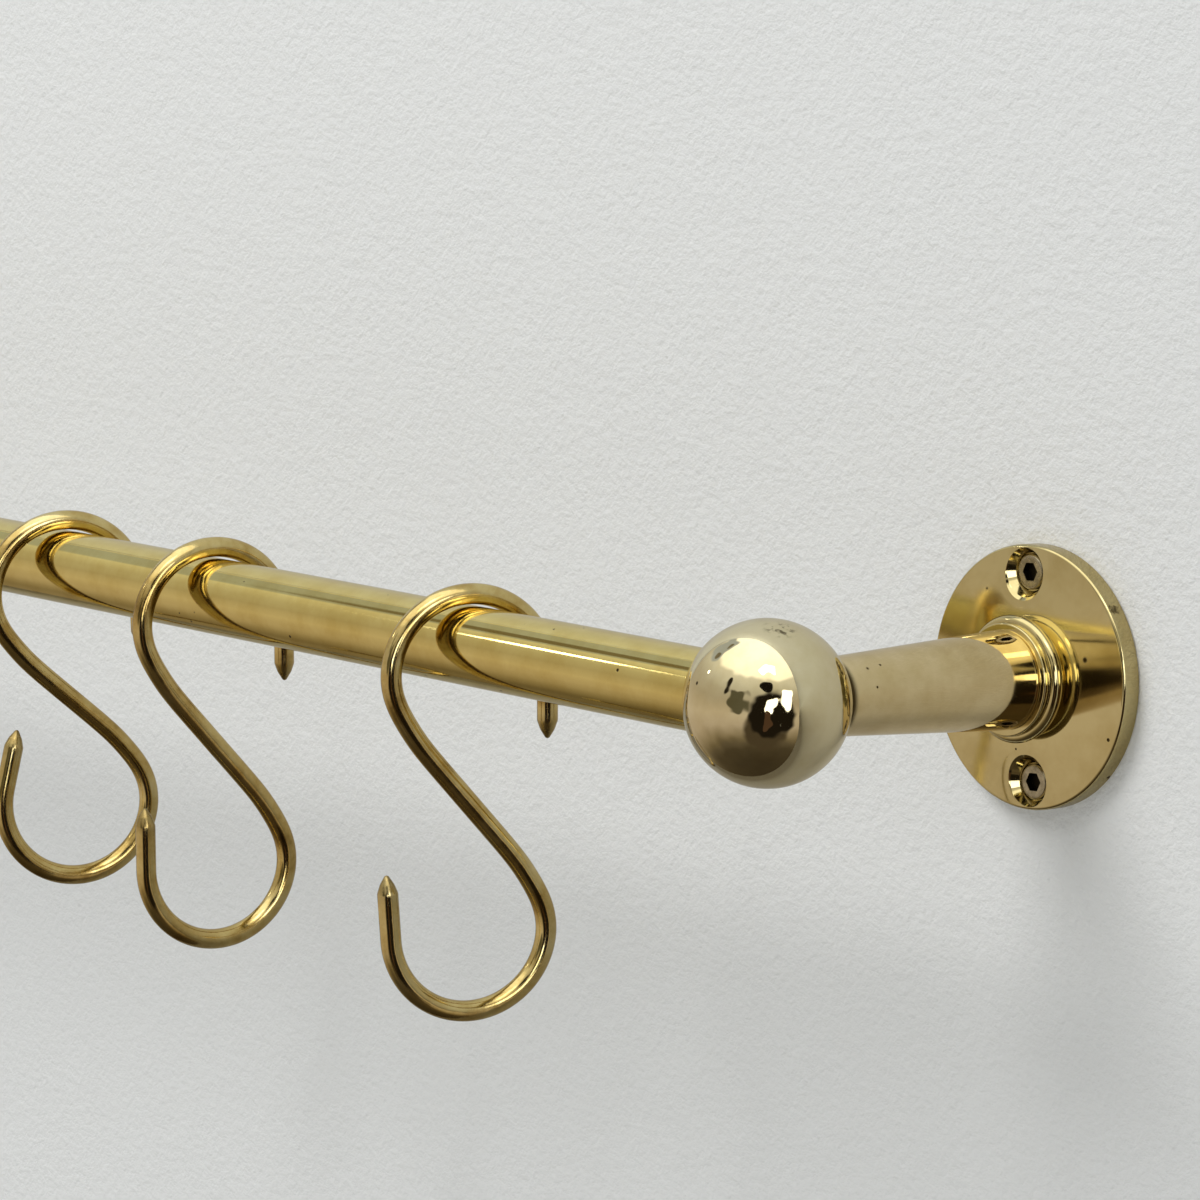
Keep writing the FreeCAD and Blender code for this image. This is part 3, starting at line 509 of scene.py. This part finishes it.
def brass(name, bright, deep, gloss, marks=(), stains=(), wave_depth_mm=0.02, screw_holes=()):
    """Cast yellow brass, turned and buffed to a mirror, then handled for years.

    It mirrors what is round it in yellow; buffing leaves a slow waviness and a haze that varies
    from place to place, and small pits, tarnish specks and the dirt in a joint stay dark. Marks are torn
    streaks and stains are whole spots, each given by its centre, radius and soft edge in millimetres.
    """
    material, tree, surface, _ = new_material(name)
    place = add(tree, "ShaderNodeTexCoord").outputs["Object"]
    # Haze and colour drift in patches about 9 mm wide.
    patch = add(tree, "ShaderNodeTexNoise", None, Vector=place, Scale=1 / (9 * MM), Detail=4.0,
                Roughness=0.6).outputs["Fac"]
    colour = ramp(tree, patch, [(0.3, deep), (0.62, bright)])
    # Tarnish specks about 0.5 mm wide, thinly scattered in cells of 3.5 mm.
    speck = add(tree, "ShaderNodeTexVoronoi", {"feature": "F1"}, Vector=place, Scale=1 / (3.5 * MM),
                Randomness=1.0)
    seldom = add(tree, "ShaderNodeSeparateColor", None, Color=speck.outputs["Color"]).outputs["Red"]
    spot_size = add(tree, "ShaderNodeMapRange", None, Value=seldom, From_Min=0.86, From_Max=1.0, To_Min=0.0,
                    To_Max=0.13).outputs["Result"]
    pit = add(tree, "ShaderNodeMath", {"operation": "LESS_THAN"}, i0=speck.outputs["Distance"],
              i1=spot_size).outputs["Value"]
    dark = pit
    for centre, radius, soft in marks:
        streak = add(tree, "ShaderNodeTexNoise", None, Vector=place, Scale=1 / (1.6 * MM),
                     Detail=3.0).outputs["Fac"]
        torn = add(tree, "ShaderNodeMapRange", None, Value=streak, From_Min=0.5, From_Max=0.62, To_Min=0.0,
                   To_Max=0.85).outputs["Result"]
        mark = add(tree, "ShaderNodeMath", {"operation": "MULTIPLY"}, i0=torn,
                   i1=near(tree, place, centre, radius, soft)).outputs["Value"]
        dark = add(tree, "ShaderNodeMath", {"operation": "MAXIMUM"}, i0=dark, i1=mark).outputs["Value"]
    for centre, radius, soft in stains:
        dark = add(tree, "ShaderNodeMath", {"operation": "MAXIMUM"}, i0=dark,
                   i1=near(tree, place, centre, radius, soft)).outputs["Value"]
    stained = add(tree, "ShaderNodeMix", {"data_type": "RGBA"}, i0=dark, i6=colour,
                  i7=paint("#4A3D22")).outputs[2]
    link(tree, stained, surface.inputs["Base Color"])
    surface.inputs["Metallic"].default_value = 1.0
    haze = add(tree, "ShaderNodeMapRange", None, Value=patch, From_Min=0.3, From_Max=0.7, To_Min=gloss[1],
               To_Max=gloss[0]).outputs["Result"]
    rough = add(tree, "ShaderNodeMath", {"operation": "MULTIPLY_ADD"}, i0=dark, i1=0.3,
                i2=haze).outputs["Value"]
    link(tree, rough, surface.inputs["Roughness"])
    # Slow waves from the buffing wheel, then pits.
    wave = add(tree, "ShaderNodeTexNoise", None, Vector=place, Scale=1 / (14 * MM), Detail=1.0).outputs["Fac"]
    bent = add(tree, "ShaderNodeBump", None, Height=wave, Distance=wave_depth_mm * MM,
               Strength=1.0).outputs["Normal"]
    for x, z in screw_holes:
        # The buffing wheel has dished the face round each screw hole.
        split = add(tree, "ShaderNodeSeparateXYZ", None, Vector=place)
        flat = add(tree, "ShaderNodeCombineXYZ", None, X=split.outputs["X"],
                   Z=split.outputs["Z"]).outputs["Vector"]
        dish = near(tree, flat, (x, 0.0, z), 5.6, 3.0)
        bent = add(tree, "ShaderNodeBump", {"invert": True}, Height=dish, Distance=0.05 * MM, Strength=1.0,
                   Normal=bent).outputs["Normal"]
    pitted = add(tree, "ShaderNodeBump", {"invert": True}, Height=pit, Distance=0.05 * MM, Strength=0.6,
                 Normal=bent).outputs["Normal"]
    link(tree, pitted, surface.inputs["Normal"])
    return material


def drawn_brass_wire():
    """Half-hard brass wire, drawn through a die, bent cold and left to tarnish.

    It is duller than the buffed pieces: brown-gold with darker brown patches, rubbed bright here
    and there, with the filed ends left rough and dark.
    """
    material, tree, surface, _ = new_material("drawn brass wire, tarnished")
    place = add(tree, "ShaderNodeTexCoord").outputs["Object"]
    # Tarnish in patches about 11 mm long, broken up at 2 mm.
    patch = add(tree, "ShaderNodeTexNoise", None, Vector=place, Scale=1 / (11 * MM), Detail=5.0,
                Roughness=0.65).outputs["Fac"]
    colour = ramp(tree, patch, [(0.26, "#9C8048"), (0.4, "#C9AE6C"), (0.55, "#DCC788"), (0.75, "#E8D8A4")])
    filed = add(tree, "ShaderNodeAttribute", {"attribute_name": "filed_end"}).outputs["Fac"]
    ends = add(tree, "ShaderNodeMath", {"operation": "MULTIPLY"}, i0=filed, i1=0.75).outputs["Value"]
    aged = add(tree, "ShaderNodeMix", {"data_type": "RGBA"}, i0=ends, i6=colour, i7=paint("#8E7C54")).outputs[2]
    link(tree, aged, surface.inputs["Base Color"])
    surface.inputs["Metallic"].default_value = 1.0
    dull = add(tree, "ShaderNodeMapRange", None, Value=patch, From_Min=0.3, From_Max=0.7, To_Min=0.17,
               To_Max=0.09).outputs["Result"]
    rough = add(tree, "ShaderNodeMath", {"operation": "MULTIPLY_ADD"}, i0=filed, i1=0.18,
                i2=dull).outputs["Value"]
    link(tree, rough, surface.inputs["Roughness"])
    # Grain about 0.35 mm, drawn coarser than the real one so that it shows.
    grain = add(tree, "ShaderNodeTexNoise", None, Vector=place, Scale=1 / (0.35 * MM),
                Detail=2.0).outputs["Fac"]
    dent = add(tree, "ShaderNodeTexNoise", None, Vector=place, Scale=1 / (5 * MM), Detail=1.0).outputs["Fac"]
    soft = add(tree, "ShaderNodeBump", None, Height=dent, Distance=0.08 * MM, Strength=1.0).outputs["Normal"]
    fine = add(tree, "ShaderNodeBump", None, Height=grain, Distance=0.012 * MM, Strength=0.6,
               Normal=soft).outputs["Normal"]
    link(tree, fine, surface.inputs["Normal"])
    return material


def screw_steel():
    """Plated steel screws: grey with a yellow cast, dull, and black in the key socket from painted shade."""
    material, tree, surface, _ = new_material("plated steel, machined")
    place = add(tree, "ShaderNodeTexCoord").outputs["Object"]
    dirt = add(tree, "ShaderNodeTexNoise", None, Vector=place, Scale=1 / (2.2 * MM), Detail=4.0).outputs["Fac"]
    colour = ramp(tree, dirt, [(0.35, "#9A917A"), (0.6, "#BCB298")])
    # Painted shade in the key socket: near-black and rougher where the socket marks are.
    painted_socket_shade = add(tree, "ShaderNodeAttribute", {"attribute_name": "socket_dirt"}).outputs["Fac"]
    with_socket_shade = add(tree, "ShaderNodeMix", {"data_type": "RGBA"}, i0=painted_socket_shade, i6=colour,
                 i7=paint("#2C271D")).outputs[2]
    link(tree, with_socket_shade, surface.inputs["Base Color"])
    surface.inputs["Metallic"].default_value = 1.0
    dull = add(tree, "ShaderNodeMapRange", None, Value=dirt, From_Min=0.3, From_Max=0.7, To_Min=0.32,
               To_Max=0.2).outputs["Result"]
    rough = add(tree, "ShaderNodeMath", {"operation": "MULTIPLY_ADD"}, i0=painted_socket_shade, i1=0.3,
                i2=dull).outputs["Value"]
    link(tree, rough, surface.inputs["Roughness"])
    grain = add(tree, "ShaderNodeBump", None, Height=dirt, Distance=0.03 * MM, Strength=0.5).outputs["Normal"]
    link(tree, grain, surface.inputs["Normal"])
    return material


def see_through_behind(tree, surface, output, left_out=0.0):
    """Lets a backdrop be seen from its front only; left_out is 1 where there is none of it."""
    clear = add(tree, "ShaderNodeBsdfTransparent").outputs[0]
    behind = add(tree, "ShaderNodeNewGeometry").outputs["Backfacing"]
    open_way = add(tree, "ShaderNodeMath", {"operation": "MAXIMUM"}, i0=behind, i1=left_out).outputs["Value"]
    shown = add(tree, "ShaderNodeMixShader", None, i0=open_way, i1=surface.outputs[0], i2=clear).outputs[0]
    link(tree, shown, output.inputs["Surface"])


def wall_paint():
    """Matt emulsion put on with a roller: pale grey-white with a soft stipple.

    The wall is a backdrop only, so seen from behind it lets the view through, and it is left out under the
    flanges. In the metal it darkens towards the floor: painted shade, which only its reflections show.
    """
    material, tree, surface, output = new_material("matt emulsion, rolled")
    place = add(tree, "ShaderNodeTexCoord").outputs["Object"]
    height = add(tree, "ShaderNodeSeparateXYZ", None, Vector=place).outputs["Z"]
    # Painted shade: as the metal mirrors it, the wall darkens towards the floor.
    down = add(tree, "ShaderNodeMapRange", None, Value=height, From_Min=0.1, From_Max=-0.3).outputs["Result"]
    painted_low_shade = ramp(tree, down, [(0.0, "#D6D7D5"), (0.25, "#C3BFB7"), (0.5, "#A8A49C"), (0.75, "#969289"),
                               (1.0, "#787268")])
    mirrored = add(tree, "ShaderNodeLightPath").outputs["Is Glossy Ray"]
    colour = add(tree, "ShaderNodeMix", {"data_type": "RGBA"}, i0=mirrored, i6=paint("#EAEBEA"),
                 i7=painted_low_shade).outputs[2]
    link(tree, colour, surface.inputs["Base Color"])
    surface.inputs["Roughness"].default_value = 0.75
    surface.inputs["Specular IOR Level"].default_value = 0.25
    # Roller stipple, about 3 mm from crest to crest, over slower sweeps of 11 mm.
    stipple = add(tree, "ShaderNodeTexNoise", None, Vector=place, Scale=1 / (2.6 * MM), Detail=4.0,
                  Roughness=0.66).outputs["Fac"]
    sweep = add(tree, "ShaderNodeTexNoise", None, Vector=place, Scale=1 / (11 * MM), Detail=2.0).outputs["Fac"]
    slow = add(tree, "ShaderNodeBump", None, Height=sweep, Distance=0.6 * MM, Strength=0.6).outputs["Normal"]
    fine = add(tree, "ShaderNodeBump", None, Height=stipple, Distance=0.8 * MM, Strength=0.9,
               Normal=slow).outputs["Normal"]
    link(tree, fine, surface.inputs["Normal"])
    covered = [near(tree, place, (BALL_X * sign, 0.0, 0.0), FLANGE_RADIUS - 0.6, 0.1) for sign in (1, -1)]
    either = add(tree, "ShaderNodeMath", {"operation": "MAXIMUM"}, i0=covered[0],
                 i1=covered[1]).outputs["Value"]
    see_through_behind(tree, surface, output, either)
    return material


def floor_finish():
    """A plain pale matt floor."""
    material, tree, surface, output = new_material("pale matt floor")
    place = add(tree, "ShaderNodeTexCoord").outputs["Object"]
    # Clouding about a third of a metre wide.
    cloud = add(tree, "ShaderNodeTexNoise", None, Vector=place, Scale=1 / (333 * MM), Detail=3.0).outputs["Fac"]
    link(tree, ramp(tree, cloud, [(0.3, "#D2D1CE"), (0.7, "#DADAD7")]), surface.inputs["Base Color"])
    surface.inputs["Roughness"].default_value = 0.7
    see_through_behind(tree, surface, output)
    return material


def backdrop():
    """A wall on the object's wall plane, facing -Y, and a floor below, which the metal doesn't mirror."""
    wall = bpy.data.meshes.new("wall")
    wall.from_pydata([(-STAGE_REACH, WALL_GAP, FLOOR_Z), (STAGE_REACH, WALL_GAP, FLOOR_Z),
                      (STAGE_REACH, WALL_GAP, WALL_TOP), (-STAGE_REACH, WALL_GAP, WALL_TOP)], [],
                     [(0, 1, 2, 3)])
    floor = bpy.data.meshes.new("floor")
    floor.from_pydata([(-STAGE_REACH, -FLOOR_REACH, FLOOR_Z), (STAGE_REACH, -FLOOR_REACH, FLOOR_Z),
                       (STAGE_REACH, FLOOR_REACH, FLOOR_Z), (-STAGE_REACH, FLOOR_REACH, FLOOR_Z)], [],
                      [(0, 1, 2, 3)])
    for mesh, material in ((wall, wall_paint()), (floor, floor_finish())):
        mesh.materials.append(material)
        thing = bpy.data.objects.new(mesh.name, mesh)
        thing.visible_glossy = mesh is wall
        bpy.context.scene.collection.objects.link(thing)


def aim(position, target):
    """A matrix at a position, looking at a target along its own -Z."""
    forward = (Vector(target) - Vector(position)).normalized()
    return Matrix.Translation(position) @ forward.to_track_quat("-Z", "Y").to_matrix().to_4x4()


def soft_box(name, position, target, width, height, power, in_metal):
    """A rectangular soft light; in_metal says whether the brass mirrors it."""
    light = bpy.data.lights.new(name, "AREA")
    light.shape = "RECTANGLE"
    light.size = width
    light.size_y = height
    light.energy = power
    lamp = bpy.data.objects.new(name, light)
    lamp.matrix_world = aim(position, target)
    lamp.visible_glossy = in_metal
    bpy.context.scene.collection.objects.link(lamp)


def glow(hex_code, strength):
    """A colour brighter than white by a strength."""
    return tuple(strength * channel for channel in paint(hex_code)[:3]) + (1.0,)


# White panels and dark screens that the brass mirrors: the way to each, the cosines from it at which the
# screen is full and gone, its colour and its strength.
STUDIO_SCREENS = (
    ((0.62, -0.62, -0.48), 0.92, 0.84, "#4A4032", 1.0),
    ((0.80, -0.58, -0.12), 0.88, 0.82, "#1E1913", 1.0),
    ((0.80, -0.57, 0.12), 0.991, 0.985, "#FFFFFF", 3.0),
    ((0.94, -0.26, 0.21), 0.988, 0.979, "#FFFFFF", 3.0),
    ((0.70, -0.62, -0.28), 0.998, 0.996, "#4E3A2C", 1.0),
    ((0.63, -0.62, 0.46), 0.993, 0.987, "#171411", 1.0),
    ((-0.21, -0.93, 0.31), 0.992, 0.984, "#2A251E", 1.0),
    ((0.10, -0.97, 0.12), 0.975, 0.955, "#5C5848", 1.0),
    ((-0.77, -0.10, 0.63), 0.985, 0.965, "#AEB4BA", 1.0),
    ((-0.775, -0.12, 0.635), 0.9998, 0.9992, "#7A7262", 1.0),
    ((0.42, -0.45, 0.79), 0.996, 0.992, "#FFFBEE", 4.0),
)


def studio_light():
    """Even, neutral light, and what the brass mirrors besides the wall.

    That is a bright ceiling over pale walls with a warm cast, a dim floor, and the panels and screens; a slow
    drift of the looking direction keeps their edges from being ruled lines.
    """
    world = bpy.data.worlds.new("studio")
    bpy.context.scene.world = world
    world.use_nodes = True
    tree = world.node_tree
    tree.nodes.clear()
    way = add(tree, "ShaderNodeTexCoord").outputs["Generated"]
    drift = add(tree, "ShaderNodeTexNoise", None, Vector=way, Scale=5.0, Detail=0.0).outputs["Color"]
    swing = add(tree, "ShaderNodeVectorMath", {"operation": "MULTIPLY_ADD"}, i0=drift, i1=(0.1, 0.1, 0.1),
                i2=(-0.05, -0.05, -0.05)).outputs[0]
    wavy = add(tree, "ShaderNodeVectorMath", {"operation": "ADD"}, i0=way, i1=swing).outputs[0]
    height = add(tree, "ShaderNodeSeparateXYZ", None, Vector=wavy).outputs["Z"]
    level = add(tree, "ShaderNodeMapRange", None, Value=height, From_Min=-1.0, From_Max=1.0).outputs["Result"]
    seen = ramp(tree, level, [(0.0, "#3C3428"), (0.1, "#4A4132"), (0.15, "#5E5444"), (0.185, "#746853"),
                              (0.23, "#938673"), (0.31, "#B8AB9D"), (0.425, "#C6BAAB"), (0.555, "#B3AA9C"),
                              (0.65, "#BCB6AA"), (0.73, "#D0CCC0"), (0.80, "#E4E0D4"), (1.0, "#F2F1EC")])
    upper = add(tree, "ShaderNodeMapRange", {"interpolation_type": "SMOOTHSTEP"}, Value=height, From_Min=0.60,
                From_Max=0.68, To_Min=1.0, To_Max=1.8).outputs["Result"]
    seen = add(tree, "ShaderNodeVectorMath", {"operation": "SCALE"}, i0=seen, Scale=upper).outputs[0]
    for towards, full, gone, hex_code, strength in STUDIO_SCREENS:
        facing = add(tree, "ShaderNodeVectorMath", {"operation": "DOT_PRODUCT"}, i0=wavy,
                     i1=Vector(towards).normalized()).outputs["Value"]
        share = add(tree, "ShaderNodeMapRange", {"interpolation_type": "SMOOTHSTEP"}, Value=facing,
                    From_Min=gone, From_Max=full).outputs["Result"]
        seen = add(tree, "ShaderNodeMix", {"data_type": "RGBA"}, i0=share, i6=seen,
                   i7=glow(hex_code, strength)).outputs[2]
    plain = ramp(tree, level, [(0.0, "#8E8E8D"), (0.5, "#AFB0B0"), (1.0, "#C6C8C9")])
    path = add(tree, "ShaderNodeLightPath")
    lit = add(tree, "ShaderNodeMix", {"data_type": "RGBA"}, i0=path.outputs["Is Glossy Ray"], i6=plain, i7=seen)
    shown = add(tree, "ShaderNodeMix", {"data_type": "RGBA"}, i0=path.outputs["Is Camera Ray"],
                i6=lit.outputs[2], i7=paint("#E2E3E3")).outputs[2]
    ground = add(tree, "ShaderNodeBackground", None, Color=shown, Strength=1.0)
    add(tree, "ShaderNodeOutputWorld", None, Surface=ground.outputs[0])
    rail_end = Vector((0.19, -0.09, 0.005))
    soft_box("ceiling light", rail_end + Vector((-0.60, -1.44, 1.82)), rail_end, 1.4, 1.0, 33.0, False)
    soft_box("lamp", rail_end + Vector((-1.135, -0.75, 0.63)), rail_end, 0.07, 0.07, 0.14, True)


def camera():
    """The viewpoint: a long lens, right of the rail and a little above it, held slightly askew."""
    data = bpy.data.cameras.new("view")
    data.sensor_width = 36.0
    data.lens = 150.0
    data.clip_start = 0.01
    eye = bpy.data.objects.new("view", data)
    eye.matrix_world = aim(CAMERA_PLACE, CAMERA_TARGET) @ Matrix.Rotation(math.radians(CAMERA_ROLL), 4, "Z")
    bpy.context.scene.collection.objects.link(eye)
    bpy.context.scene.camera = eye


def dress(piece, material, node, body):
    """Gives a piece its finish and puts it in the place of a solid."""
    piece.data.materials.clear()
    piece.data.materials.append(material)
    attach(piece, body)
    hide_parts(node)


polished_rail = brass("brass tube, buffed", "#ECD98E", "#E0C97A", (0.05, 0.09), wave_depth_mm=0.015)
joint_on_ball = [((BALL_X * sign, STEM_TIP_Y, 0.0), STEM_TIP_RADIUS + 0.3, 0.8) for sign in (1, -1)]
joint_on_stem = [((BALL_X * sign, -STAND_OFF, 0.0), BALL_RADIUS + 1.2, 1.6) for sign in (1, -1)]
polished_ball = brass("cast brass ball, buffed", "#EDE2BC", "#E2D4A8", (0.03, 0.05),
                      [((256.1, -88.6, 17.6), 1.5, 3.0)],
                      joint_on_ball + [((246.4, -103.7, 5.3), 0.25, 0.3), ((242.4, -103.0, -2.8), 0.2, 0.3)])
polished_stem = brass("turned brass stem, buffed", "#ECD9AA", "#DCC793", (0.04, 0.07),
                      (), joint_on_stem + [((256.2, -61.7, 7.0), 0.2, 0.4), ((255.8, -57.6, 7.3), 0.15, 0.3)],
                      0.01)
hole_places = [(BALL_X * sign - SCREW_RING * up * math.sin(math.radians(angle)),
                SCREW_RING * up * math.cos(math.radians(angle)))
               for sign, angle in ((1, RIGHT_FLANGE_TURN), (-1, LEFT_FLANGE_TURN)) for up in (1, -1)]
polished_flange = brass("turned brass flange, buffed", "#DCCE9A", "#D0BF88", (0.07, 0.11),
                        [((274.2, -2.6, 18.8), 1.2, 1.6)],
                        [((268.8, -5.8, 6.5), 0.3, 0.6), ((236.4, -5.6, 19.2), 0.15, 0.3)], 0.03, hole_places)
wire = drawn_brass_wire()
steel = screw_steel()

dress(rail_tube(), polished_rail, "rail_tube", "rail")
for side, sign, flange_turn in (("right", 1, RIGHT_FLANGE_TURN), ("left", -1, LEFT_FLANGE_TURN)):
    bracket = ((ball(f"{side}_ball_end", sign), polished_ball, f"{side}_ball"),
               (stem(f"{side}_tapered_stem", sign), polished_stem, f"{side}_stem"),
               (flange(f"{side}_wall_flange", sign, flange_turn), polished_flange, f"{side}_flange"))
    for piece, finish, node in bracket:
        dress(piece, finish, node, "rail")
dress(wall_screws(), steel, "wall_screws", "rail")
for hook_name, *hook_sizes in HOOKS:
    dress(hook(f"{hook_name}_wire", *hook_sizes), wire, hook_name, hook_name)
for node in ("ball_studs", "flange_bolts", "rail_set_screws"):
    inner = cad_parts[node]
    inner.data.materials.clear()
    inner.data.materials.append(steel)

backdrop()
studio_light()
camera()
bpy.context.scene.view_settings.view_transform = "Standard"
